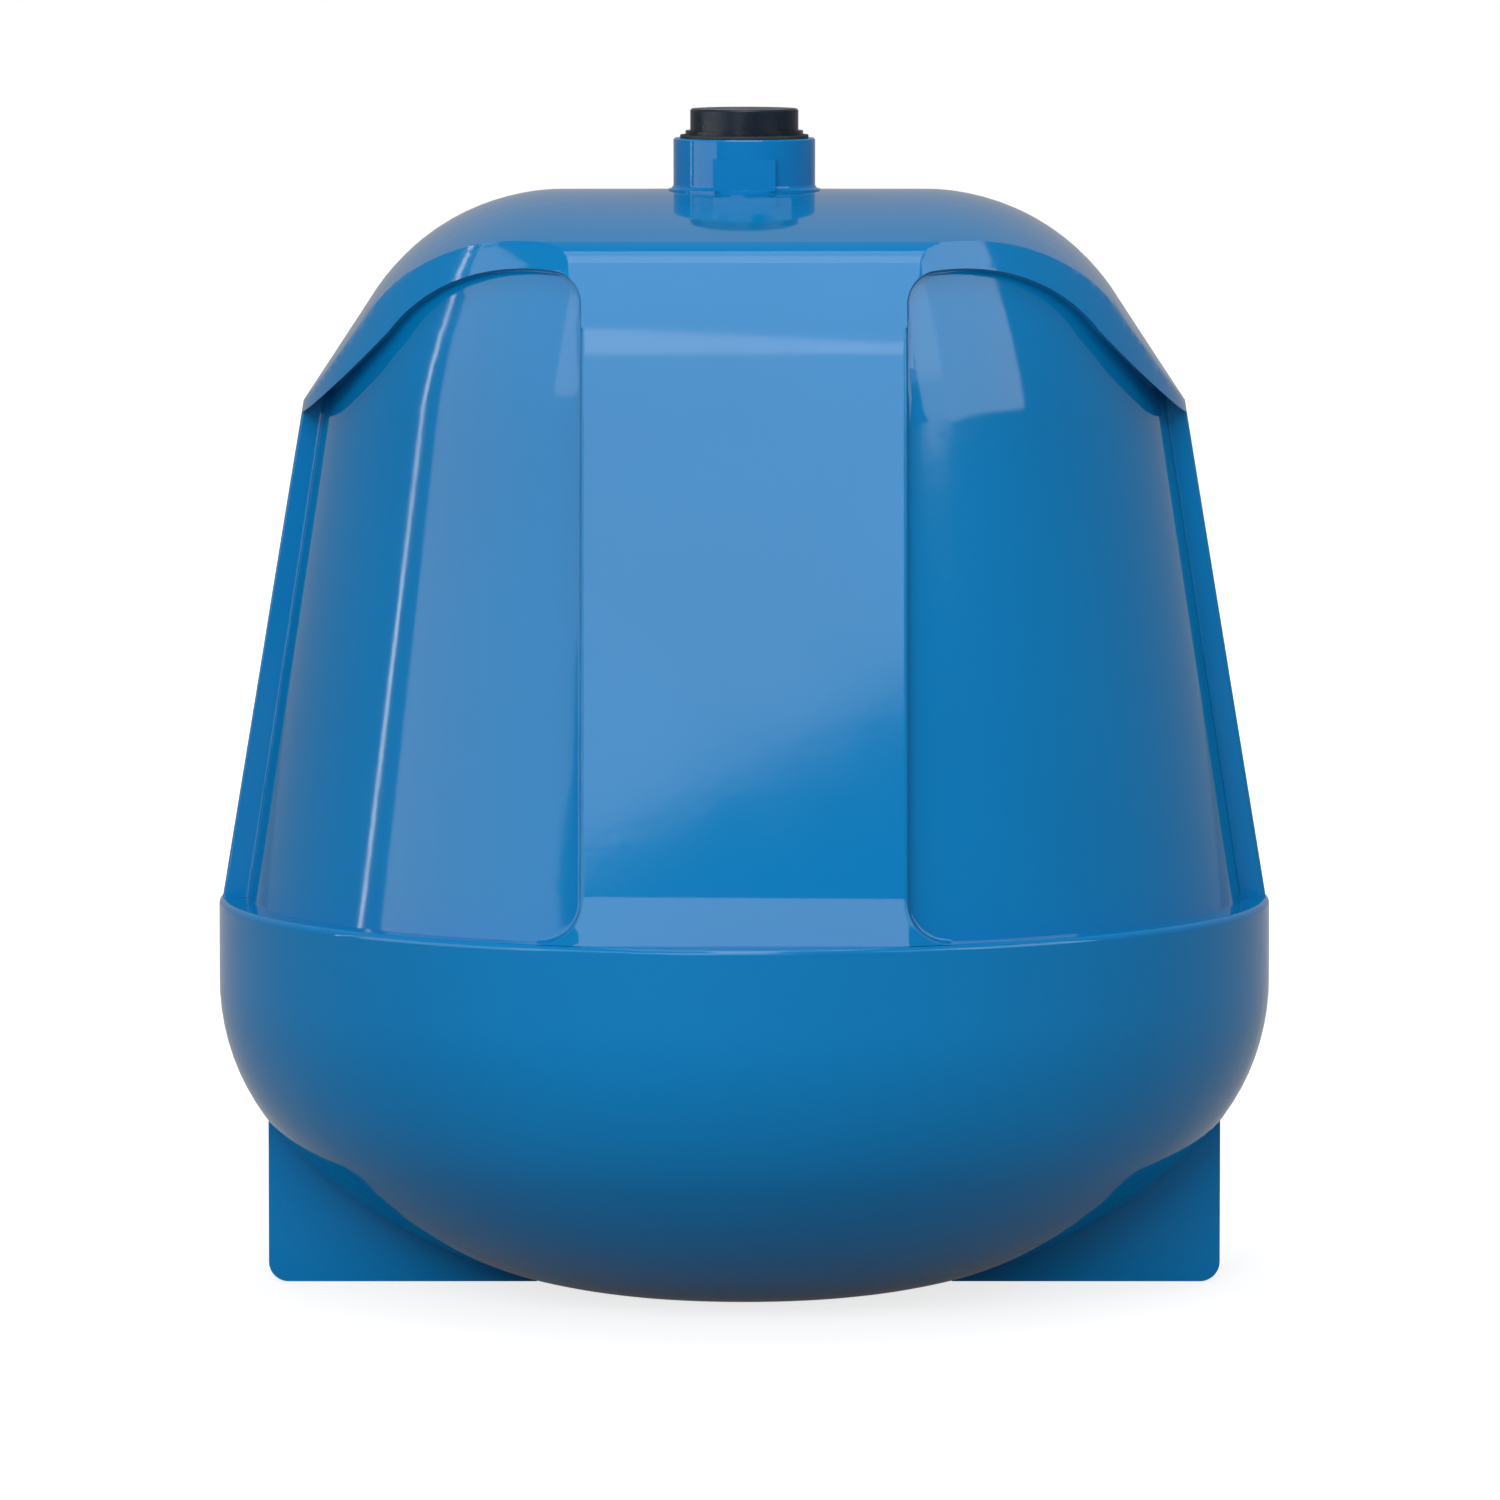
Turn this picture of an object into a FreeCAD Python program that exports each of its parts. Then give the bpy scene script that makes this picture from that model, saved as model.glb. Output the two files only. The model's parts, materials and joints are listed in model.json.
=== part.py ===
"""Expansion vessel: a moulded blue body on two blade feet, with a capped water connection on top.

Millimetres, +Z up. The origin is the centre of the base, on the surface that the vessel stands on,
X runs from foot to foot, and the two flat panels face -Y and +Y.
"""
import FreeCAD
import Part
import os
from math import cos, radians, sin, sqrt, tan

from FreeCAD import Vector

# Overall sizes
BODY_R = 166.7            # round belly
SEAM_Z = 123.0            # where the upper and lower shells meet
TOP_Z = 346.8             # highest line of the upper shell
WALL = 5.0                # thickness of both shells

# Upper shell: a tapered round form under an arched, crowned top
FRAME_STEP = 1.1          # the frame of ribs and panels stands this far inside the belly at the seam
TAPER, KINK_DROP = 27.2, 66.4             # in from the belly, and down from the top
SHOULDER_MID_IN, SHOULDER_MID_DROP = 8.9, 37.8
SHOULDER_END_IN, SHOULDER_END_RISE = 26.5, 2.2
ARCH_IN = 82.5            # from the kink in to where the arch is level
ARCH_R = 72.2
ARCH_TURN = 55.0          # degrees of each arch's round stretch
CROWN_R = 460.0           # radius of the top, front to back
WHEEL_BORE, WHEEL_HALF = 60.0, 50.0       # inner radius and half turn of the round that cuts the top
PANEL_HALF = 50.0         # half width of the flat front and back panels
PANEL_SINK = 2.0          # how much wider the flat face is than the panel
FLARE_HEIGHT, FLARE_OUT, FLARE_SINK = 15.0, 3.6, 0.4
PANEL_EDGE_R = 12.0
CREST_STEPS = 20          # rounds of solving for where panel and top meet
WINDOW_DEPTH = 8.0        # from the frame down to the bell
RIM = 7.0                 # height of the rim above each window
RIM_TOE = 3.0             # how far under the kink the rim runs out
RIB_HALF = 9.0            # half width of the narrow side ribs
WINDOW_CORNER_R = 13.0
WINDOW_TOP_R = 8.0
WINDOW_EDGE_R = 1.2
CORNER_EDGE = 60.0        # a window corner's edge is lower and deeper than this
BELL_KINK_SINK = 6.5      # depth of the bell where the taper ends
BELL_MID_SINK, BELL_TOP_SINK = 4.2, 2.6   # and at the shoulder and the top
CAVITY_DROP = 12.4        # the cavity starts to close this far under the kink
CAVITY_MID, CAVITY_END = (11.0, 39.0), 38.0
TOP_THICK = 15.0          # from the top of the arch down to the cavity

# Lower shell
BELLY_DEPTH = 25.0        # straight belly under the seam
KNUCKLE_MID_IN, KNUCKLE_MID_DROP = 6.8, 32.0
KNUCKLE_END_IN, KNUCKLE_END_DROP = 24.3, 55.4
DISH_IN, DISH_Z, BASE_R = 65.7, 14.0, 56.5
KNUCKLE_MID_LEAN, KNUCKLE_END_LEAN, DISH_MID_LEAN = 25.0, 47.0, 63.0   # degrees the wall leans there
LIP_R = 2.0
RIM_HEIGHT, RIM_SHY = 10.0, 0.4           # the clamping rim, and how far it hides behind the upper wall
RECESS_R, RECESS_DEPTH = 28.0, 22.0

# Feet
FOOT_IN, FOOT_THICK, FOOT_CORNER_R, FOOT_INNER_X = 15.5, 15.0, 6.3, 66.0

# Water connection
BORE_R, INSERT_WALL, INSERT_LENGTH = 15.15, 2.45, 33.0
COLLAR_WALL, COLLAR_HEIGHT = 4.8, 16.5    # the collar's wall outside the insert
COLLAR_FLARE, COLLAR_FOOT = 1.6, 0.4      # the flared foot, and its straight edge over the top
FLATS_PROUD = 0.6         # each of the two spanner flats, outside the collar
FLAT_HALF, FLAT_HEIGHT = 9.8, 10.5
COLLAR_SINK = 1.0         # depth of the collar's seat in the shell
GASKET_T = 1.0
TAIL_WALL, TAIL_LENGTH = 1.4, 24.0
SKIRT_SHY, SKIRT_LENGTH = 0.7, 3.8        # the plug's skirt inside the insert's hole
LOCK_NUT_WALL, LOCK_NUT_T = 5.0, 6.0
PLUG_SHY, PLUG_HEIGHT = 0.5, 9.2          # the knob inside the insert's hole
PLUG_FLANGE_OVER, PLUG_FLANGE_T = 1.0, 1.3
PLUG_GASKET_SHY, PLUG_GASKET_T = 2.1, 1.0 # the gasket inside the collar's edge
PLUG_CHAMFER = 0.5

# Diaphragm and its clamp
SHEET_T, BEAD_IN = 2.5, 9.7               # the sheet, and its bead in from the belly
SHEET_GAP = 1.8           # between the sheet and the lower shell's rim
SHEET_LOW_Z, SHEET_DISC_R = 46.0, 25.0
SHEET_SKIRT, SHEET_MID_SHARE, SHEET_MID_DROP = 25.0, 0.8, 58.0
SHEET_LEAN = (0.6, 0.8)   # the way from the sheet's outside to its inside half way down
CLAMP_W, CLAMP_T, CLAMP_GAP = 9.0, 3.0, 0.1

# Gas valve
STEM_R, STEM_WALL, STEM_END_Z = 4.0, 1.4, 12.0
STEM_FLANGE_W, STEM_FLANGE_T = 4.0, 2.5
WASHER_T = 1.0
VALVE_NUT_WALL, VALVE_NUT_T = 2.0, 3.5
CORE_WALL, CORE_SHOULDER_T = 0.7, 2.0
PIN_R, PIN_HEAD_W, PIN_COLLAR_SHY = 0.8, 1.4, 0.2
PIN_HEAD_T, PIN_COLLAR_T = 1.2, 0.8
RUNNING = 0.05            # radial clearance of what slides or unscrews
SEAL_T = 0.5
SPRING_WIRE_R, SPRING_SHY, SPRING_COILS, SPRING_RISE = 0.22, 0.55, 6, 3.8
CAP_WALL, CAP_BOTTOM_Z, CAP_FLOOR_T = 2.5, 5.0, 2.0
CAP_GAP, CAP_SEAL_GAP = 1.0, 0.3          # under the nut, and under the stem's end
LIFT = 0.02               # smallest gap under a seal that lifts
MOUTH_GAP = 0.2           # between the plug's skirt and the insert
FAR = 200.0               # beyond the vessel on every side

# Places that follow from the sizes above
FRAME_R, KINK_R, KINK_Z = BODY_R - FRAME_STEP, BODY_R - TAPER, TOP_Z - KINK_DROP
SHOULDER_MID = (KINK_R - SHOULDER_MID_IN, TOP_Z - SHOULDER_MID_DROP)
SHOULDER_END = (KINK_R - SHOULDER_END_IN, TOP_Z + SHOULDER_END_RISE)
TOP_FLAT_HALF = KINK_R - ARCH_IN
FLARE_Z, CAVITY_TURN_Z = SEAM_Z + FLARE_HEIGHT, KINK_Z - CAVITY_DROP
KNUCKLE_Z = SEAM_Z - BELLY_DEPTH
KNUCKLE_MID = (BODY_R - KNUCKLE_MID_IN, KNUCKLE_Z - KNUCKLE_MID_DROP)
KNUCKLE_END = (BODY_R - KNUCKLE_END_IN, KNUCKLE_Z - KNUCKLE_END_DROP)
DISH_MID, FOOT_X = (BODY_R - DISH_IN, DISH_Z), BODY_R - FOOT_IN
COLLAR_TOP, FLAT_TOP = TOP_Z + COLLAR_HEIGHT, TOP_Z + FLAT_HEIGHT
PLUG_TOP = COLLAR_TOP + PLUG_HEIGHT
INSERT_R = BORE_R + INSERT_WALL
COLLAR_R, TAIL_R, SKIRT_R = INSERT_R + COLLAR_WALL, INSERT_R + TAIL_WALL, INSERT_R - SKIRT_SHY
PLUG_R, PLUG_FLANGE_R = INSERT_R - PLUG_SHY, INSERT_R + PLUG_FLANGE_OVER
PLUG_GASKET_R = COLLAR_R - PLUG_GASKET_SHY
FLATS, LOCK_NUT_FLATS = 2 * (COLLAR_R + FLATS_PROUD), 2 * (TAIL_R + LOCK_NUT_WALL)
BEAD_R = BODY_R - BEAD_IN
STEM_BORE_R, STEM_FLANGE_R, CAP_R = STEM_R - STEM_WALL, STEM_R + STEM_FLANGE_W, STEM_R + CAP_WALL
VALVE_NUT_FLATS, CORE_BORE_R = 2 * (STEM_R + VALVE_NUT_WALL), STEM_BORE_R - CORE_WALL
PIN_HEAD_R, PIN_COLLAR_R = PIN_R + PIN_HEAD_W, CORE_BORE_R - PIN_COLLAR_SHY
SPRING_R = CORE_BORE_R - SPRING_SHY
SEAT_Z = TOP_Z - COLLAR_SINK - GASKET_T
CEILING_Z = TOP_Z - TOP_THICK
TAIL_LOW_Z = CEILING_Z - TAIL_LENGTH / 2
RIM_INNER_R = FRAME_R - WINDOW_DEPTH - WALL + RIM_SHY
WELL_TOP_Z = RECESS_DEPTH + WALL
WASHER_TOP_Z = WELL_TOP_Z + WASHER_T
INSERT_TOP_Z = COLLAR_TOP - SKIRT_LENGTH - MOUTH_GAP
CORE_LOW_Z = STEM_END_Z + 2.0
PIN_LOW_Z = STEM_END_Z + 0.5
SPRING_TOP_Z = WASHER_TOP_Z - CORE_SHOULDER_T
SPRING_LOW_Z = CORE_LOW_Z + SPRING_RISE
GASKET_TOP_Z = COLLAR_TOP + PLUG_GASKET_T
FLANGE_TOP_Z = GASKET_TOP_Z + PLUG_FLANGE_T


def edges_of(points):
    """Lines through (r, z) points; a pair of points is an arc's middle and end."""
    edges, here = [], points[0]
    for item in points[1:]:
        end = item[1] if isinstance(item[0], tuple) else item
        start_v, end_v = Vector(here[0], 0, here[1]), Vector(end[0], 0, end[1])
        if isinstance(item[0], tuple):
            middle = Vector(item[0][0], 0, item[0][1])
            edges.append(Part.Arc(start_v, middle, end_v).toShape())
        else:
            edges.append(Part.LineSegment(start_v, end_v).toShape())
        here = end
    return edges


def face(points):
    """A face in the XZ plane inside a closed outline."""
    return Part.Face(Part.Wire(edges_of(list(points) + [points[0]])))


def turned(points):
    """A solid of revolution about Z."""
    return face(points).revolve(Vector(0, 0, 0), Vector(0, 0, 1), 360)


def tube(outer, inner, low, high):
    """A round tube or washer about Z."""
    return turned([(inner, low), (outer, low), (outer, high), (inner, high)])


def rod(radius, low, high):
    """A round bar about Z."""
    return Part.makeCylinder(radius, high - low, Vector(0, 0, low))


def nut(flats, bore, low, high):
    """A hexagonal nut about Z."""
    corner = flats / sqrt(3)
    ring = [Vector(corner * cos(radians(a)), corner * sin(radians(a)), low) for a in range(0, 361, 60)]
    return Part.Face(Part.makePolygon(ring)).extrude(Vector(0, 0, high - low)).cut(rod(bore, low, high))


def block(x0, x1, y0, y1, z0, z1):
    """A box between two corners."""
    return Part.makeBox(x1 - x0, y1 - y0, z1 - z0, Vector(x0, y0, z0))


def frame_radius(z):
    """Radius of the frame's straight taper at a height."""
    return FRAME_R + (KINK_R - FRAME_R) * (z - SEAM_Z) / (KINK_Z - SEAM_Z)


def round_form():
    """The tapered round form of the frame, ribs and panels."""
    return turned([(0, SEAM_Z), (FRAME_R, SEAM_Z), (KINK_R, KINK_Z), (SHOULDER_MID, SHOULDER_END),
                   (0, SHOULDER_END[1])])


def bell_form():
    """The round bell that shows as the floor of the windows."""
    middle = (SHOULDER_MID[0] - BELL_MID_SINK, SHOULDER_MID[1])
    return turned([(0, SEAM_Z), (FRAME_R - WINDOW_DEPTH, SEAM_Z), (KINK_R - BELL_KINK_SINK, KINK_Z),
                   (middle, (SHOULDER_END[0] - BELL_TOP_SINK, SHOULDER_END[1])), (0, SHOULDER_END[1])])


def cavity_form():
    """The space inside the upper shell, a wall's thickness inside the bell and the arched top."""
    depth, top = WINDOW_DEPTH + WALL, TOP_Z - TOP_THICK
    start = (frame_radius(CAVITY_TURN_Z) - depth, CAVITY_TURN_Z)
    shoulder = ((start[0] - CAVITY_MID[0], start[1] + CAVITY_MID[1]), (start[0] - CAVITY_END, top))
    return turned([(0, SEAM_Z), (FRAME_R - depth, SEAM_Z), start, shoulder, (0, top)])


def arch_form(inset=0.0):
    """Everything under the arched and crowned top, drawn inwards by an inset."""
    centre_z = TOP_Z - ARCH_R
    radius = ARCH_R - inset

    def on_arc(turn):
        return (TOP_FLAT_HALF + radius * sin(radians(turn)), centre_z + radius * cos(radians(turn)))

    arc_end = on_arc(ARCH_TURN)
    run = (KINK_R - arc_end[0], KINK_Z - arc_end[1] - (RIM_TOE if inset else 0))
    toe = (FAR, arc_end[1] + run[1] * (FAR - arc_end[0]) / run[0])
    axis_z = TOP_Z - CROWN_R
    low = axis_z + WHEEL_BORE
    left_toe, left_end = (-toe[0], toe[1]), (-arc_end[0], arc_end[1])
    middle = on_arc(ARCH_TURN / 2)
    outline = [(-FAR, low), (FAR, low), toe, arc_end, (middle, (TOP_FLAT_HALF, TOP_Z - inset)),
               (-TOP_FLAT_HALF, TOP_Z - inset), ((-middle[0], middle[1]), left_end), left_toe]
    wheel = face(outline)
    wheel.rotate(Vector(0, 0, axis_z), Vector(1, 0, 0), -WHEEL_HALF)
    return wheel.revolve(Vector(0, 0, axis_z), Vector(1, 0, 0), 2 * WHEEL_HALF)


def panel_depth(radius):
    """How far forward the flat face lies where the frame has a radius."""
    return sqrt(radius ** 2 - (PANEL_HALF + PANEL_SINK) ** 2)


def crest_rounding():
    """Start, middle and end (y, z) of the rounding between a flat panel and the crowned top."""
    low = (panel_depth(SHOULDER_MID[0]), SHOULDER_MID[1])
    high = (panel_depth(SHOULDER_END[0]), SHOULDER_END[1])
    side = Vector(high[0] - low[0], 0, high[1] - low[1]).normalize()
    axis_z = TOP_Z - CROWN_R
    y, z = low
    for _ in range(CREST_STEPS):
        z = axis_z + sqrt(CROWN_R ** 2 - y ** 2)
        y = low[0] + side.x / side.z * (z - low[1])
    top = Vector(-(z - axis_z), 0, y).normalize()
    half = side.getAngle(top) / 2
    corner, reach = Vector(y, 0, z), PANEL_EDGE_R * tan(half)
    inward = (top - side).normalize() * (PANEL_EDGE_R / cos(half) - PANEL_EDGE_R)
    return [(v.x, v.z) for v in (corner - side * reach, corner + inward, corner + top * reach)]


def panel_form():
    """Everything between the flat front and back panels, rounded over at the crest."""
    foot = panel_depth(frame_radius(FLARE_Z)) - FLARE_SINK
    shoulder = (panel_depth(SHOULDER_MID[0]), SHOULDER_MID[1])
    start, middle, end = crest_rounding()
    half = [(foot + FLARE_OUT, SEAM_Z), (foot, FLARE_Z), (panel_depth(KINK_R), KINK_Z), shoulder, start,
            (middle, end), (end[0], SHOULDER_END[1])]
    mirrored = [(-end[0], SHOULDER_END[1]), (-end[0], end[1])]
    mirrored += [((-middle[0], middle[1]), (-start[0], start[1]))]
    mirrored += [(-y, z) for y, z in reversed(half[:4])]
    slab = face(half + mirrored)
    slab.rotate(Vector(0, 0, 0), Vector(0, 0, 1), 90)
    slab.translate(Vector(-FAR, 0, 0))
    return slab.extrude(Vector(2 * FAR, 0, 0))


def window(form):
    """One recess, in front on the right: down to the bell, and rounded at the panel's corners."""
    quarter = block(PANEL_HALF, FAR, -FAR, -RIB_HALF, SEAM_Z, TOP_Z).common(form)
    corners = [e for e in quarter.Edges
               if abs(e.BoundBox.XMin - PANEL_HALF) < 0.01 and e.BoundBox.XLength < 0.01
               and e.BoundBox.ZLength < CORNER_EDGE < e.BoundBox.YLength]
    for edge in corners:
        low = abs(edge.BoundBox.ZMax - SEAM_Z) < 0.01
        quarter = quarter.makeFillet(WINDOW_CORNER_R if low else WINDOW_TOP_R, [edge_like(quarter, edge)])
    return quarter


def edge_like(solid, edge):
    """The solid's edge that lies where a given edge did."""
    return min(solid.Edges, key=lambda e: (e.BoundBox.Center - edge.BoundBox.Center).Length
               + abs(e.BoundBox.DiagonalLength - edge.BoundBox.DiagonalLength))


def nearest_edge(solid, point):
    """The solid's edge that passes closest to a point."""
    spot = Part.Vertex(point)
    return min(solid.Edges, key=lambda e: e.distToShape(spot)[0])


def window_edges(solid):
    """The rim and floor edges of all four windows: along panel and rib."""
    mid_z = (SEAM_Z + KINK_Z) / 2
    rib_r = frame_radius(mid_z)
    floor_r = rib_r - WINDOW_DEPTH
    high_z = (KINK_Z + SHOULDER_MID[1]) / 2
    high_y = (panel_depth(KINK_R) + panel_depth(SHOULDER_MID[0])) / 2
    spots = [(PANEL_HALF, panel_depth(rib_r), mid_z), (sqrt(rib_r ** 2 - RIB_HALF ** 2), RIB_HALF, mid_z),
             (PANEL_HALF, sqrt(floor_r ** 2 - PANEL_HALF ** 2), mid_z),
             (sqrt(floor_r ** 2 - RIB_HALF ** 2), RIB_HALF, mid_z), (PANEL_HALF, high_y, high_z)]
    sides = [(sx, sy) for sx in (-1, 1) for sy in (-1, 1)]
    return [nearest_edge(solid, Vector(sx * x, sy * y, z)) for x, y, z in spots for sx, sy in sides]


def upper_shell():
    """The tapered body with four recessed windows, its cavity and the connection's seat."""
    outer = round_form().common(arch_form()).common(panel_form())
    recess = window(arch_form(RIM)).cut(bell_form())
    for _ in range(2):
        pair = [recess, recess.mirror(Vector(0, 0, 0), Vector(1, 0, 0))]
        outer = outer.cut(pair)
        recess = recess.mirror(Vector(0, 0, 0), Vector(0, 1, 0))
    outer = outer.makeFillet(WINDOW_EDGE_R, window_edges(outer))
    outer = outer.cut(cavity_form())
    seat = rod(COLLAR_R + COLLAR_FLARE + RUNNING, SEAT_Z, TOP_Z + 1)
    bead_room = rod(BEAD_R, SEAM_Z, SEAM_Z + SHEET_T)
    return outer.cut([seat, rod(TAIL_R + RUNNING, SEAM_Z, TOP_Z + 1), bead_room])


def dish(inward=0.0):
    """Outline of the lower shell from the knuckle down to the flat base, drawn inwards by a thickness."""
    def moved(point, turn):
        """A point moved inwards along a wall that leans by a turn in degrees."""
        return (point[0] - inward * cos(radians(turn)), point[1] + inward * sin(radians(turn)))

    return [(BODY_R - inward, KNUCKLE_Z),
            (moved(KNUCKLE_MID, KNUCKLE_MID_LEAN), moved(KNUCKLE_END, KNUCKLE_END_LEAN)),
            (moved(DISH_MID, DISH_MID_LEAN), (BASE_R, inward))]


def lower_solid():
    """The lower shell's outside as a solid, with its rounded lip."""
    lip = LIP_R * (1 - cos(radians(45)))
    rounded = ((BODY_R - lip, SEAM_Z - lip), (BODY_R, SEAM_Z - LIP_R))
    return turned([(0, SEAM_Z), (BODY_R - LIP_R, SEAM_Z), rounded] + dish() + [(0, 0)])


def lower_shell():
    """The dished bottom, with its thick clamping rim and the well for the gas valve."""
    cavity_r = BODY_R - WALL
    inner = turned([(0, SEAM_Z), (RIM_INNER_R, SEAM_Z), (RIM_INNER_R, SEAM_Z - RIM_HEIGHT),
                    (cavity_r, SEAM_Z - RIM_HEIGHT - WALL)] + dish(WALL) + [(0, WALL)])
    well = rod(RECESS_R + WALL, 0, WELL_TOP_Z)
    shell = lower_solid().cut(inner).fuse(well.common(lower_solid()))
    return shell.cut([rod(RECESS_R, 0, RECESS_DEPTH), rod(STEM_R, 0, WELL_TOP_Z)]).removeSplitter()


def foot(side):
    """One blade foot, shaped to the dished bottom above it."""
    blade = block(FOOT_INNER_X, FOOT_X, -FOOT_THICK / 2, FOOT_THICK / 2, 0, KNUCKLE_Z)
    toe = [e for e in blade.Edges if e.BoundBox.ZMax < 0.01 and abs(e.BoundBox.XMin - FOOT_X) < 0.01]
    blade = blade.makeFillet(FOOT_CORNER_R, toe).cut(lower_solid())
    if side < 0:
        blade = blade.mirror(Vector(0, 0, 0), Vector(1, 0, 0))
    return blade


def diaphragm():
    """The rubber sheet: a clamped bead at the seam, a straight skirt and a dished floor."""
    out_r = RIM_INNER_R - SHEET_GAP
    in_r, turn_z = out_r - SHEET_T, SEAM_Z - SHEET_SKIRT
    mid = (SHEET_MID_SHARE * out_r, SEAM_Z - SHEET_MID_DROP)
    return turned([(in_r, SEAM_Z + SHEET_T), (BEAD_R, SEAM_Z + SHEET_T), (BEAD_R, SEAM_Z), (out_r, SEAM_Z),
                   (out_r, turn_z), (mid, (SHEET_DISC_R, SHEET_LOW_Z)), (0, SHEET_LOW_Z),
                   (0, SHEET_LOW_Z + SHEET_T), (SHEET_DISC_R, SHEET_LOW_Z + SHEET_T),
                   ((mid[0] - SHEET_LEAN[0] * SHEET_T, mid[1] + SHEET_LEAN[1] * SHEET_T), (in_r, turn_z))])


def clamp_ring():
    """The steel ring that presses the bead down inside the upper shell."""
    low = SEAM_Z + SHEET_T
    outer = frame_radius(low + CLAMP_T) - WINDOW_DEPTH - WALL - CLAMP_GAP
    return tube(outer, outer - CLAMP_W, low, low + CLAMP_T)


def collar():
    """The connection's collar with a flared foot, two spanner flats and a threaded tail."""
    low = SEAT_Z + GASKET_T
    bend = COLLAR_FLARE * (1 - cos(radians(45)))
    foot_z = TOP_Z + COLLAR_FOOT
    body = turned([(0, low), (COLLAR_R + COLLAR_FLARE, low), (COLLAR_R + COLLAR_FLARE, foot_z),
                   ((COLLAR_R + bend, foot_z + bend), (COLLAR_R, foot_z + COLLAR_FLARE)),
                   (COLLAR_R, COLLAR_TOP - PLUG_CHAMFER), (COLLAR_R - PLUG_CHAMFER, COLLAR_TOP),
                   (0, COLLAR_TOP)])
    flats = block(-FLAT_HALF, FLAT_HALF, -FLATS / 2, FLATS / 2, foot_z, FLAT_TOP)
    tail = rod(TAIL_R, TAIL_LOW_Z, low)
    return body.fuse([flats, tail]).cut(rod(INSERT_R, TAIL_LOW_Z, COLLAR_TOP)).removeSplitter()


def valve_spring():
    """A fine coil spring about the pin, between its collar and the core's shoulder."""
    height = SPRING_TOP_Z - SPRING_LOW_Z - 2 * SPRING_WIRE_R
    helix = Part.makeHelix(height / SPRING_COILS, height, SPRING_R)
    section = Part.Wire(Part.makeCircle(SPRING_WIRE_R, Vector(SPRING_R, 0, 0), Vector(0, 1, 0)))
    coil = Part.Wire(helix).makePipeShell([section], True, True)
    coil.translate(Vector(0, 0, SPRING_LOW_Z + SPRING_WIRE_R))
    return coil


def plug():
    """The protective plug: knob, flange and a short skirt in the mouth of the collar."""
    skirt_z = COLLAR_TOP - SKIRT_LENGTH
    return turned([(0, skirt_z), (SKIRT_R, skirt_z), (SKIRT_R, GASKET_TOP_Z),
                   (PLUG_FLANGE_R, GASKET_TOP_Z), (PLUG_FLANGE_R, FLANGE_TOP_Z), (PLUG_R, FLANGE_TOP_Z),
                   (PLUG_R, PLUG_TOP - PLUG_CHAMFER), (PLUG_R - PLUG_CHAMFER, PLUG_TOP), (0, PLUG_TOP)])


def valve_core():
    """The core: a tube with a shoulder at its top that guides the pin and holds the spring."""
    return tube(STEM_BORE_R, CORE_BORE_R, CORE_LOW_Z, SPRING_TOP_Z).fuse(
        tube(STEM_BORE_R, PIN_R + RUNNING, SPRING_TOP_Z, WASHER_TOP_Z)).removeSplitter()


def valve_pin():
    """The pin with the spring's collar low down and the sealing head on top."""
    seal_top = WASHER_TOP_Z + LIFT + SEAL_T
    spring_collar = rod(PIN_COLLAR_R, SPRING_LOW_Z - PIN_COLLAR_T, SPRING_LOW_Z)
    head = rod(PIN_HEAD_R, seal_top, seal_top + PIN_HEAD_T)
    return rod(PIN_R, PIN_LOW_Z, seal_top).fuse([spring_collar, head]).removeSplitter()


def valve_cap():
    """The screw cap over the valve stem."""
    top = RECESS_DEPTH - VALVE_NUT_T - CAP_GAP
    return rod(CAP_R, CAP_BOTTOM_Z, top).cut(rod(STEM_R + RUNNING, CAP_BOTTOM_Z + CAP_FLOOR_T, top))


def pieces():
    """Every piece by the name of its node."""
    seal_low = WASHER_TOP_Z + LIFT
    cap_floor = CAP_BOTTOM_Z + CAP_FLOOR_T
    stem = tube(STEM_R, STEM_BORE_R, STEM_END_Z, WASHER_TOP_Z).fuse(
        tube(STEM_FLANGE_R, STEM_BORE_R, WASHER_TOP_Z, WASHER_TOP_Z + STEM_FLANGE_T)).removeSplitter()
    return {
        "upper_shell": upper_shell(),
        "lower_shell": lower_shell(),
        "foot_left": foot(-1),
        "foot_right": foot(1),
        "diaphragm": diaphragm(),
        "clamp_ring": clamp_ring(),
        "connection_collar": collar(),
        "thread_insert": tube(INSERT_R, BORE_R, INSERT_TOP_Z - INSERT_LENGTH, INSERT_TOP_Z),
        "neck_gasket": tube(COLLAR_R + COLLAR_FLARE, TAIL_R, SEAT_Z, SEAT_Z + GASKET_T),
        "inner_lock_nut": nut(LOCK_NUT_FLATS, TAIL_R, CEILING_Z - LOCK_NUT_T, CEILING_Z),
        "plug": plug(),
        "plug_gasket": tube(PLUG_GASKET_R, SKIRT_R, COLLAR_TOP, GASKET_TOP_Z),
        "valve_stem": stem,
        "valve_washer": tube(STEM_FLANGE_R, STEM_R, WELL_TOP_Z, WASHER_TOP_Z),
        "valve_nut": nut(VALVE_NUT_FLATS, STEM_R, RECESS_DEPTH - VALVE_NUT_T, RECESS_DEPTH),
        "valve_core": valve_core(),
        "valve_pin": valve_pin(),
        "valve_spring": valve_spring(),
        "valve_seal": tube(PIN_HEAD_R, PIN_R, seal_low, seal_low + SEAL_T),
        "valve_cap": valve_cap(),
        "cap_seal": rod(STEM_R - RUNNING, cap_floor, STEM_END_Z - CAP_SEAL_GAP),
    }


os.makedirs("parts", exist_ok=True)
for name, shape in pieces().items():
    print(f"{name:18s} solids {len(shape.Solids)} valid {shape.isValid()} {shape.Volume / 1000:9.3f} cm3")
    shape.exportStep(f"parts/{name}.step")
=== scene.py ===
"""Looks of the expansion vessel: finishes, rounded edges, light and camera."""
import json
import logging
import math
from dataclasses import dataclass, field
from enum import Enum

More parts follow.
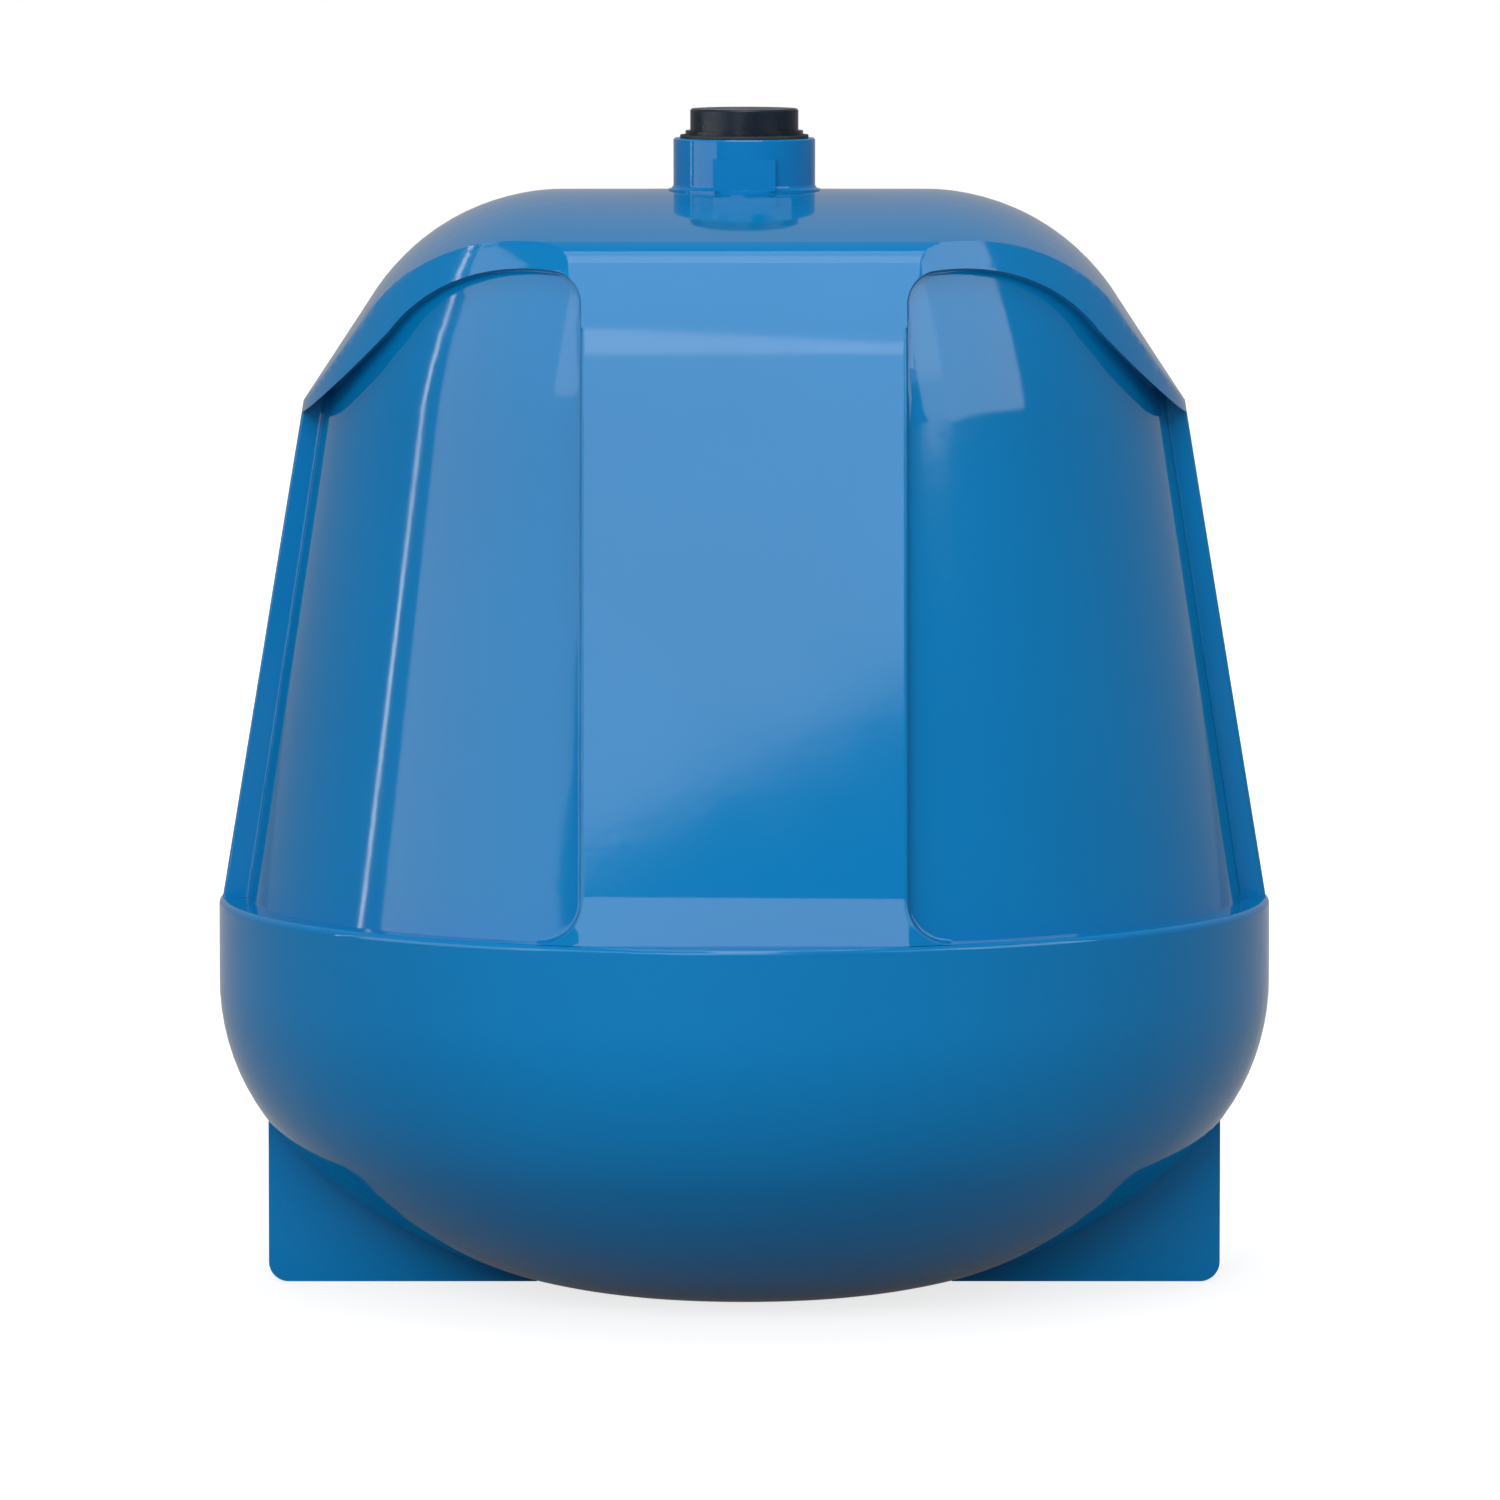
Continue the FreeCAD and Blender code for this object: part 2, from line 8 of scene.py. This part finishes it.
import bmesh
import bpy
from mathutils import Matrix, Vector

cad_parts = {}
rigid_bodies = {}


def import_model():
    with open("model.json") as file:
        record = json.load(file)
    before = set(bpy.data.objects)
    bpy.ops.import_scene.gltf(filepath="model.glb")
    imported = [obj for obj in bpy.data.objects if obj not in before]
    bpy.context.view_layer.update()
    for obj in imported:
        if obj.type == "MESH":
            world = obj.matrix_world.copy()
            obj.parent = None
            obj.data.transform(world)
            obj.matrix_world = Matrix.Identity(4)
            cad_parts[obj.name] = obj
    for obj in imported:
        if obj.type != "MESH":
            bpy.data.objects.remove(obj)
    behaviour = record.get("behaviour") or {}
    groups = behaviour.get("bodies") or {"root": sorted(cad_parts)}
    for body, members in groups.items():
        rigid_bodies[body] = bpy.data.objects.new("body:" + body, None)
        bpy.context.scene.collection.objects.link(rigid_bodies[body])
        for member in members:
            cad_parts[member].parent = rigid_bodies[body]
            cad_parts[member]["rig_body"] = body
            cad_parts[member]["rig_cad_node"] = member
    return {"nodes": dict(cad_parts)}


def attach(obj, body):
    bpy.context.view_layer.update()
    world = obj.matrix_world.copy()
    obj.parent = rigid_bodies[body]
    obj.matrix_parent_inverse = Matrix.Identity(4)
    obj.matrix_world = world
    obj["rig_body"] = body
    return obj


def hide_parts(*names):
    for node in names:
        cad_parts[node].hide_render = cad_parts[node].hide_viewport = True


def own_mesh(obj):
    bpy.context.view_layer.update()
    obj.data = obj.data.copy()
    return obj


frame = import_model()
LOG = logging.getLogger("expansion_vessel")
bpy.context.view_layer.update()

Colour = tuple[float, float, float, float]
Point = tuple[float, float, float]

NOISE_LOW, NOISE_HIGH = 0.3, 0.7          # where a noise's middle range starts and ends
MIX_FIRST, MIX_SECOND, MIX_COLOUR = 6, 7, 2   # a colour mix node's sockets
EASE_SEGMENTS, RIM_SEGMENTS = 3, 4


class Slot(Enum):
    """The record's material slots."""

    BLUE = "body_blue"
    PLASTIC = "black_plastic"
    RUBBER = "black_rubber"
    BUTYL = "butyl_rubber"
    BRASS = "brass"
    STEEL = "steel"


class Body(Enum):
    """The bodies that pieces ride on."""

    VESSEL = "vessel"
    PLUG = "protective_plug"
    CAP = "cap"
    PIN = "pin"


def linear(red: int, green: int, blue: int) -> Colour:
    """Turn a screen colour into a linear one.

    Args:
        red: Red from 0 to 255.
        green: Green from 0 to 255.
        blue: Blue from 0 to 255.

    Returns:
        The linear colour with an alpha of 1.
    """

    def channel(value: int) -> float:
        """One channel, by the sRGB curve."""
        share = value / 255
        return share / 12.92 if share <= 0.04045 else ((share + 0.055) / 1.055) ** 2.4

    return (channel(red), channel(green), channel(blue), 1.0)


class NodeSheet:
    """A material's node tree, with short ways to add to it."""

    def __init__(self, name: str) -> None:
        """Start a material that holds only its shader and output.

        Args:
            name: The material's name.
        """
        self.material = bpy.data.materials.new(name)
        self.material.use_nodes = True
        self.tree = self.material.node_tree
        self.shader = self.tree.nodes["Principled BSDF"]
        self.place = self.tree.nodes.new("ShaderNodeTexCoord").outputs["Object"]

    def add(self, kind: str, **values: object) -> bpy.types.Node:
        """Add a node and set its properties.

        Args:
            kind: The node's type.
            **values: Its properties by name.

        Returns:
            The new node.
        """
        node = self.tree.nodes.new(kind)
        for name, value in values.items():
            setattr(node, name, value)
        return node

    def link(self, start: bpy.types.NodeSocket, end: bpy.types.NodeSocket) -> None:
        """Join an output to an input."""
        self.tree.links.new(start, end)

    def noise(self, scale: float, detail: float = 3.0,
              stretch: Point = (1, 1, 1)) -> bpy.types.NodeSocket:
        """Add noise in the object's own space.

        Args:
            scale: Features per metre.
            detail: Octaves of the noise.
            stretch: Scale along each axis.

        Returns:
            The noise's value.
        """
        mapping = self.add("ShaderNodeMapping")
        mapping.inputs["Scale"].default_value = stretch
        self.link(self.place, mapping.inputs["Vector"])
        node = self.add("ShaderNodeTexNoise")
        node.inputs["Scale"].default_value = scale
        node.inputs["Detail"].default_value = detail
        self.link(mapping.outputs["Vector"], node.inputs["Vector"])
        return node.outputs["Fac"]

    def spread(self, value: bpy.types.NodeSocket, low: float, high: float) -> bpy.types.NodeSocket:
        """Map the middle of a noise onto a range.

        Args:
            value: The noise.
            low: What its dark side becomes.
            high: What its bright side becomes.

        Returns:
            The mapped value.
        """
        node = self.add("ShaderNodeMapRange")
        node.inputs["From Min"].default_value = NOISE_LOW
        node.inputs["From Max"].default_value = NOISE_HIGH
        node.inputs["To Min"].default_value = low
        node.inputs["To Max"].default_value = high
        self.link(value, node.inputs["Value"])
        return node.outputs["Result"]

    def mix(self, share: bpy.types.NodeSocket, first: Colour, second: Colour) -> bpy.types.NodeSocket:
        """Mix two colours.

        Args:
            share: How much of the second shows.
            first: The colour at 0.
            second: The colour at 1.

        Returns:
            The mixed colour.
        """
        node = self.add("ShaderNodeMix", data_type="RGBA")
        node.inputs[MIX_FIRST].default_value = first
        node.inputs[MIX_SECOND].default_value = second
        self.link(share, node.inputs["Factor"])
        return node.outputs[MIX_COLOUR]

    def bump(self, height: bpy.types.NodeSocket, distance: float,
             before: bpy.types.NodeSocket | None = None) -> bpy.types.NodeSocket:
        """Add a bump.

        Args:
            height: The height's pattern.
            distance: Its depth in metres.
            before: A bump that this one lies on.

        Returns:
            The bent normal.
        """
        node = self.add("ShaderNodeBump")
        node.inputs["Distance"].default_value = distance
        self.link(height, node.inputs["Height"])
        if before is not None:
            self.link(before, node.inputs["Normal"])
        return node.outputs["Normal"]


@dataclass(frozen=True)
class MouldedGloss:
    """Gloss moulded plastic: faint orange peel, slight tone drift and fine handling haze."""

    name: str = "moulded_gloss_blue"
    tone: Colour = linear(4, 116, 176)
    deep: Colour = linear(2, 111, 170)
    gloss: float = 0.05
    haze: float = 0.08
    specular: float = 0.17
    peel_depth: float = 0.000008
    drift_scale: float = 7.0
    haze_scale: float = 38.0
    peel_scale: float = 230.0
    wave_scale: float = 14.0
    wave_share: float = 3.0

    def build(self) -> bpy.types.Material:
        """Make the material."""
        sheet = NodeSheet(self.name)
        drift = sheet.spread(sheet.noise(self.drift_scale, 2.0), 0.0, 1.0)
        sheet.link(sheet.mix(drift, self.tone, self.deep), sheet.shader.inputs["Base Color"])
        haze = sheet.spread(sheet.noise(self.haze_scale, 5.0), self.gloss, self.haze)
        sheet.link(haze, sheet.shader.inputs["Roughness"])
        sheet.shader.inputs["Specular IOR Level"].default_value = self.specular
        peel = sheet.bump(sheet.noise(self.peel_scale, 2.0), self.peel_depth)
        wave = sheet.bump(sheet.noise(self.wave_scale, 1.0), self.peel_depth * self.wave_share, peel)
        sheet.link(wave, sheet.shader.inputs["Normal"])
        return sheet.material


@dataclass(frozen=True)
class Grained:
    """Plastic or rubber with a fine eroded grain and a little bloom."""

    name: str
    tone: Colour
    bloom: Colour
    rough: float
    specular: float = 0.5
    grain: float = 1400.0
    depth: float = 0.00004
    bloom_scale: float = 90.0
    wear_scale: float = 160.0
    wear: float = 0.08

    def build(self) -> bpy.types.Material:
        """Make the material."""
        sheet = NodeSheet(self.name)
        cloud = sheet.spread(sheet.noise(self.bloom_scale, 4.0), 0.0, 1.0)
        sheet.link(sheet.mix(cloud, self.tone, self.bloom), sheet.shader.inputs["Base Color"])
        worn = sheet.spread(sheet.noise(self.wear_scale, 4.0), self.rough - self.wear, self.rough + self.wear)
        sheet.link(worn, sheet.shader.inputs["Roughness"])
        sheet.shader.inputs["Specular IOR Level"].default_value = self.specular
        sheet.link(sheet.bump(sheet.noise(self.grain, 2.0), self.depth), sheet.shader.inputs["Normal"])
        return sheet.material


@dataclass(frozen=True)
class TurnedMetal:
    """Metal with fine turning lines about the upright axis and a slight tarnish."""

    name: str
    tone: Colour
    tarnish: Colour
    rough: float
    cloud_scale: float = 120.0
    line_scale: float = 900.0
    line_stretch: Point = (0.02, 0.02, 4.0)
    line_depth: float = 0.00002

    def build(self) -> bpy.types.Material:
        """Make the material."""
        sheet = NodeSheet(self.name)
        cloud = sheet.spread(sheet.noise(self.cloud_scale, 4.0), 0.0, 1.0)
        sheet.link(sheet.mix(cloud, self.tone, self.tarnish), sheet.shader.inputs["Base Color"])
        sheet.shader.inputs["Metallic"].default_value = 1.0
        lines = sheet.noise(self.line_scale, 2.0, self.line_stretch)
        worn = sheet.spread(lines, self.rough - 0.08, self.rough + 0.1)
        sheet.link(worn, sheet.shader.inputs["Roughness"])
        sheet.link(sheet.bump(lines, self.line_depth), sheet.shader.inputs["Normal"])
        return sheet.material


FINISHES = {
    Slot.BLUE: MouldedGloss(),
    Slot.PLASTIC: Grained("satin_black_plastic", linear(7, 20, 32), linear(12, 26, 40), 0.3, 0.2),
    Slot.RUBBER: Grained("matt_black_rubber", linear(24, 25, 28), linear(38, 39, 42), 0.62, 0.3, 900.0),
    Slot.BUTYL: Grained("butyl_sheet", linear(26, 26, 28), linear(48, 47, 46), 0.7, 0.3, 500.0, 0.00008),
    Slot.BRASS: TurnedMetal("turned_brass", linear(196, 162, 92), linear(150, 118, 66), 0.3),
    Slot.STEEL: TurnedMetal("zinc_plate", linear(190, 192, 196), linear(150, 153, 158), 0.34),
}


class Finisher:
    """Makes each finish once and puts it on pieces."""

    def __init__(self) -> None:
        """Start with no material made."""
        self.made: dict[Slot, bpy.types.Material] = {}

    def dress(self, piece: bpy.types.Object, slot: Slot) -> None:
        """Give a piece the finish of a slot as its only material.

        Args:
            piece: The piece.
            slot: The slot that its finish belongs to.
        """
        if slot not in self.made:
            self.made[slot] = FINISHES[slot].build()
        piece.data.materials.clear()
        piece.data.materials.append(self.made[slot])


def deselect_all() -> None:
    """Leave nothing selected and nothing active."""
    bpy.ops.object.select_all(action="DESELECT")
    bpy.context.view_layer.objects.active = None


def make_active(piece: bpy.types.Object) -> None:
    """Select one piece alone and make it active."""
    deselect_all()
    piece.select_set(True)
    bpy.context.view_layer.objects.active = piece


def apply_modifiers(piece: bpy.types.Object) -> None:
    """Apply a piece's modifiers in order."""
    make_active(piece)
    for modifier in list(piece.modifiers):
        bpy.ops.object.modifier_apply(modifier=modifier.name)


def place_in_mesh(piece: bpy.types.Object) -> None:
    """Move a piece's place into its mesh, so that its object sits at the origin."""
    make_active(piece)
    bpy.ops.object.transform_apply(location=True, rotation=True, scale=True)


@dataclass
class Refined:
    """A construction piece shown as a joined, smooth copy with its sharp edges eased."""

    node: str
    slot: Slot
    body: Body
    ease: float = 0.0
    smooth_angle: float = 28.0
    merge: float = 0.00002
    ease_past_smooth: float = 12.0
    rim_ease: float = 0.0
    rim_low: float = 0.286
    rim_inner: float = 0.06
    rim_sharp: float = 45.0
    rim_upward: float = 0.35
    piece: bpy.types.Object = field(init=False)

    def build(self, finisher: Finisher) -> None:
        """Copy, join, ease and dress the piece.

        Args:
            finisher: What puts the finish on it.
        """
        source = frame["nodes"][self.node]
        self.piece = source.copy()
        self.piece.data = source.data.copy()
        self.piece.parent = None
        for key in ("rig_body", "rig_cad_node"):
            if key in self.piece:
                del self.piece[key]
        self.piece.name = f"{self.node}_surface"
        bpy.context.scene.collection.objects.link(self.piece)
        make_active(self.piece)
        bpy.ops.object.mode_set(mode="EDIT")
        bpy.ops.mesh.select_all(action="SELECT")
        bpy.ops.mesh.remove_doubles(threshold=self.merge)
        bpy.ops.mesh.customdata_custom_splitnormals_clear()
        bpy.ops.object.mode_set(mode="OBJECT")
        # The shell's volume is the same with and without this step: the rim still shows sharp.
        if self.rim_ease:
            self.round_rim()
        if self.ease:
            bevel = self.piece.modifiers.new("eased", "BEVEL")
            bevel.width = self.ease
            bevel.segments = EASE_SEGMENTS
            bevel.limit_method = "ANGLE"
            bevel.angle_limit = math.radians(self.smooth_angle + self.ease_past_smooth)
            apply_modifiers(self.piece)
        make_active(self.piece)
        bpy.ops.object.shade_smooth_by_angle(angle=math.radians(self.smooth_angle))
        weighted = self.piece.modifiers.new("weighted", "WEIGHTED_NORMAL")
        weighted.mode = "FACE_AREA_WITH_ANGLE"
        weighted.keep_sharp = True
        apply_modifiers(self.piece)
        finisher.dress(self.piece, self.slot)
        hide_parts(self.node)
        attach(self.piece, self.body.value)
        LOG.info("%s: %d faces", self.piece.name, len(self.piece.data.polygons))

    def round_rim(self) -> None:
        """Round over the long sharp edges high on the piece, where the arched top ends at the windows."""
        make_active(self.piece)
        bpy.ops.object.mode_set(mode="EDIT")
        bpy.ops.mesh.select_all(action="DESELECT")
        shape = bmesh.from_edit_mesh(self.piece.data)
        chosen = 0
        for edge in shape.edges:
            ends = [vert.co for vert in edge.verts]
            outside = all(math.hypot(co.x, co.y) > self.rim_inner and co.z > self.rim_low for co in ends)
            if outside and len(edge.link_faces) == 2:
                sharp = edge.calc_face_angle_signed() > math.radians(self.rim_sharp)
                upward = max(face.normal.z for face in edge.link_faces) > self.rim_upward
                if sharp and upward:
                    edge.select_set(True)
                    chosen += 1
        bmesh.update_edit_mesh(self.piece.data)
        if chosen:
            bpy.ops.mesh.bevel(offset=self.rim_ease, segments=RIM_SEGMENTS, clamp_overlap=True)
        bpy.ops.object.mode_set(mode="OBJECT")
        LOG.info("%s: %d rim edges rounded", self.piece.name, chosen)


@dataclass
class VesselBody:
    """The blue shells, feet and collar."""

    parts: tuple[Refined, ...] = (
        Refined("upper_shell", Slot.BLUE, Body.VESSEL, rim_ease=0.0022),
        Refined("lower_shell", Slot.BLUE, Body.VESSEL),
        Refined("foot_left", Slot.BLUE, Body.VESSEL, 0.0006),
        Refined("foot_right", Slot.BLUE, Body.VESSEL, 0.0006),
        Refined("connection_collar", Slot.BLUE, Body.VESSEL, 0.0003),
    )

    def build(self, finisher: Finisher) -> None:
        """Build every part of the body.

        Args:
            finisher: What puts the finishes on.
        """
        for part in self.parts:
            part.build(finisher)


@dataclass
class Fittings:
    """The plug, gaskets, nuts, diaphragm and gas valve."""

    parts: tuple[Refined, ...] = (
        Refined("plug", Slot.PLASTIC, Body.PLUG, 0.0003),
        Refined("plug_gasket", Slot.RUBBER, Body.PLUG, 0.0002),
        Refined("thread_insert", Slot.BRASS, Body.VESSEL, 0.0003),
        Refined("neck_gasket", Slot.RUBBER, Body.VESSEL),
        Refined("inner_lock_nut", Slot.BRASS, Body.VESSEL, 0.0004),
        Refined("diaphragm", Slot.BUTYL, Body.VESSEL),
        Refined("clamp_ring", Slot.STEEL, Body.VESSEL, 0.0004),
        Refined("valve_stem", Slot.BRASS, Body.VESSEL, 0.0002),
        Refined("valve_washer", Slot.RUBBER, Body.VESSEL),
        Refined("valve_nut", Slot.BRASS, Body.VESSEL, 0.0002),
        Refined("valve_core", Slot.BRASS, Body.VESSEL),
        Refined("valve_cap", Slot.PLASTIC, Body.CAP, 0.0003),
        Refined("cap_seal", Slot.RUBBER, Body.CAP),
    )
    spring: Refined = field(default_factory=lambda: Refined("valve_spring", Slot.STEEL, Body.VESSEL))
    spring_top: float = 0.026
    spring_kept: float = 0.817
    left_plain: tuple[tuple[str, Slot], ...] = (("valve_pin", Slot.BRASS), ("valve_seal", Slot.RUBBER))

    def build(self, finisher: Finisher) -> None:
        """Build every fitting and the spring, give the spring a mesh of its own, and dress the small ones as
        they are.

        Args:
            finisher: What puts the finishes on.
        """
        for part in self.parts:
            part.build(finisher)
        self.spring.build(finisher)
        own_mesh(self.spring.piece)
        for node, slot in self.left_plain:
            finisher.dress(frame["nodes"][node], slot)


class Use(Enum):
    """What a light is for."""

    BOTH = "light and reflection"
    LIGHT = "light without a reflection"
    SHINE = "reflection without light"


@dataclass(frozen=True)
class SoftBox:
    """A rectangular light."""

    name: str
    place: Point
    aim: Point
    size: tuple[float, float]
    power: float
    roll: float = 0.0
    use: Use = Use.BOTH

    def build(self) -> None:
        """Add the light."""
        data = bpy.data.lights.new(self.name, "AREA")
        data.shape = "RECTANGLE"
        data.size, data.size_y = self.size
        data.energy = self.power
        lamp = bpy.data.objects.new(self.name, data)
        bpy.context.scene.collection.objects.link(lamp)
        lamp.location = self.place
        turn = (Vector(self.aim) - Vector(self.place)).to_track_quat("-Z", "Y").to_euler()
        turn.rotate_axis("Z", math.radians(self.roll))
        lamp.rotation_euler = turn
        lamp.visible_diffuse = self.use is not Use.SHINE
        lamp.visible_glossy = self.use is not Use.LIGHT


LIGHTS = (
    SoftBox("key_window", (-0.475, -2.65, 1.51), (-0.475, 0.0, 1.51), (1.6, 1.6), 46.0, 39.0),
    SoftBox("left_wall", (-2.78, -1.13, 1.15), (0.0, 0.0, 0.25), (2.7, 2.1), 64.0, 0.0, Use.SHINE),
    SoftBox("left_tube", (-2.5, 0.30, 0.75), (0.0, 0.0, 0.25), (0.05, 1.9), 4.6, 0.0, Use.SHINE),
    SoftBox("right_window", (2.14, -0.95, 1.41), (0.06, -0.11, 0.3), (1.5, 1.3), 34.0, 0.0, Use.SHINE),
    SoftBox("crest_strip", (0.0, -1.18, 2.33), (0.0, -0.11, 0.32), (0.5, 0.9), 12.0, 0.0, Use.SHINE),
    SoftBox("panel_top", (0.0, -1.85, 1.9), (0.0, -0.11, 0.32), (0.5, 0.8), 7.0, 0.0, Use.SHINE),
    SoftBox("soft_left", (-2.0, -2.2, 1.9), (0.0, 0.0, 0.2), (1.4, 1.4), 20.0),
    SoftBox("soft_right", (2.0, -2.0, 2.0), (0.0, 0.0, 0.2), (1.4, 1.4), 15.0),
    SoftBox("low_front", (0.0, -2.4, 0.35), (0.0, 0.0, 0.08), (2.6, 0.5), 9.0, 0.0, Use.LIGHT),
    SoftBox("back_left", (-2.0, 2.2, 1.7), (0.0, 0.0, 0.18), (1.6, 1.6), 24.0, 0.0, Use.LIGHT),
    SoftBox("back_right", (2.0, 2.2, 1.7), (0.0, 0.0, 0.18), (1.6, 1.6), 24.0, 0.0, Use.LIGHT),
    SoftBox("low_back", (0.0, 2.4, 0.35), (0.0, 0.0, 0.08), (2.6, 0.5), 10.0, 0.0, Use.LIGHT),
    SoftBox("overhead", (0.0, -0.4, 2.8), (0.0, 0.0, 0.3), (1.5, 0.9), 20.0),
)


@dataclass
class Studio:
    """Floor, background, lights and camera."""

    elevation: float = 5.1
    distance: float = 3.77
    focal: float = 285.0
    aim: Point = (0.0018, 0.0, 0.169)
    sensor: float = 36.0
    far_clip: float = 50.0
    floor_size: float = 14.0
    floor_drop: float = 0.0002
    floor_tones: tuple[Colour, Colour] = ((0.3, 0.3, 0.3, 1), (0.33, 0.33, 0.33, 1))
    fill: float = 0.3
    mirrored: float = 0.1
    floor_near: float = 0.78
    floor_far: float = 1.0
    glow_start: float = 0.3
    glow_full: float = 1.4

    def build(self) -> None:
        """Build the whole stage."""
        self.floor()
        self.world()
        self.camera()
        for box in LIGHTS:
            box.build()

    def floor(self) -> None:
        """Lay a pale floor that keeps the shadow."""
        deselect_all()
        bpy.ops.mesh.primitive_plane_add(size=self.floor_size, location=(0, 0, -self.floor_drop))
        plane = bpy.context.active_object
        plane.name = "studio_floor"
        place_in_mesh(plane)
        sheet = NodeSheet("pale_floor")
        sheet.link(sheet.mix(sheet.noise(3.0), *self.floor_tones), sheet.shader.inputs["Base Color"])
        sheet.shader.inputs["Roughness"].default_value = 0.9
        sheet.shader.inputs["Specular IOR Level"].default_value = 0.1
        self.glow(sheet)
        plane.data.materials.append(sheet.material)

    def background_seen(self, tree: bpy.types.NodeTree) -> bpy.types.NodeSocket:
        """Tell how much of the white background a ray sees.

        Args:
            tree: The node tree to add to.

        Returns:
            1 for camera rays, a part of it for glossy and transmission rays, and 0 for light.
        """
        path = tree.nodes.new("ShaderNodeLightPath")
        seen = path.outputs["Is Glossy Ray"]
        for operation, other in (("MAXIMUM", path.outputs["Is Transmission Ray"]), ("MULTIPLY", None),
                                 ("MAXIMUM", path.outputs["Is Camera Ray"])):
            node = tree.nodes.new("ShaderNodeMath")
            node.operation = operation
            tree.links.new(seen, node.inputs[0])
            if other is None:
                node.inputs[1].default_value = self.mirrored
            else:
                tree.links.new(other, node.inputs[1])
            seen = node.outputs[0]
        return seen

    def glow(self, sheet: NodeSheet) -> None:
        """Add a glow that light does not see, weaker near the vessel, where the shadow lies.

        Args:
            sheet: The floor's material.
        """
        away = sheet.add("ShaderNodeVectorMath", operation="LENGTH")
        sheet.link(sheet.place, away.inputs[0])
        level = sheet.add("ShaderNodeMapRange")
        for name, value in (("From Min", self.glow_start), ("From Max", self.glow_full),
                            ("To Min", self.floor_near), ("To Max", self.floor_far)):
            level.inputs[name].default_value = value
        sheet.link(away.outputs["Value"], level.inputs["Value"])
        power = sheet.add("ShaderNodeMath", operation="MULTIPLY")
        sheet.link(level.outputs["Result"], power.inputs[1])
        sheet.link(self.background_seen(sheet.tree), power.inputs[0])
        glow = sheet.add("ShaderNodeEmission")
        sheet.link(power.outputs[0], glow.inputs["Strength"])
        both = sheet.add("ShaderNodeAddShader")
        sheet.link(sheet.shader.outputs["BSDF"], both.inputs[0])
        sheet.link(glow.outputs[0], both.inputs[1])
        sheet.link(both.outputs[0], sheet.tree.nodes["Material Output"].inputs["Surface"])

    def world(self) -> None:
        """Make a white background that lights the object only softly."""
        world = bpy.data.worlds.new("studio_world")
        bpy.context.scene.world = world
        world.use_nodes = True
        tree = world.node_tree
        strength = tree.nodes.new("ShaderNodeMapRange")
        strength.inputs["To Min"].default_value = self.fill
        strength.inputs["To Max"].default_value = 1.0
        tree.links.new(self.background_seen(tree), strength.inputs["Value"])
        background = tree.nodes["Background"]
        background.inputs["Color"].default_value = (1, 1, 1, 1)
        tree.links.new(strength.outputs["Result"], background.inputs["Strength"])

    def camera(self) -> None:
        """Set up the camera."""
        data = bpy.data.cameras.new("camera")
        data.lens = self.focal
        data.sensor_width = self.sensor
        data.clip_end = self.far_clip
        camera = bpy.data.objects.new("camera", data)
        bpy.context.scene.collection.objects.link(camera)
        tilt = math.radians(self.elevation)
        offset = Vector((0, -math.cos(tilt), math.sin(tilt))) * self.distance
        camera.location = Vector(self.aim) + offset
        camera.rotation_euler = (-offset).to_track_quat("-Z", "Y").to_euler()
        bpy.context.scene.camera = camera


def main() -> None:
    """Build the vessel and its stage."""
    logging.basicConfig(level=logging.INFO)
    bpy.context.scene.view_settings.view_transform = "Standard"
    finisher = Finisher()
    VesselBody().build(finisher)
    Fittings().build(finisher)
    Studio().build()


if __name__ == "__main__":
    main()
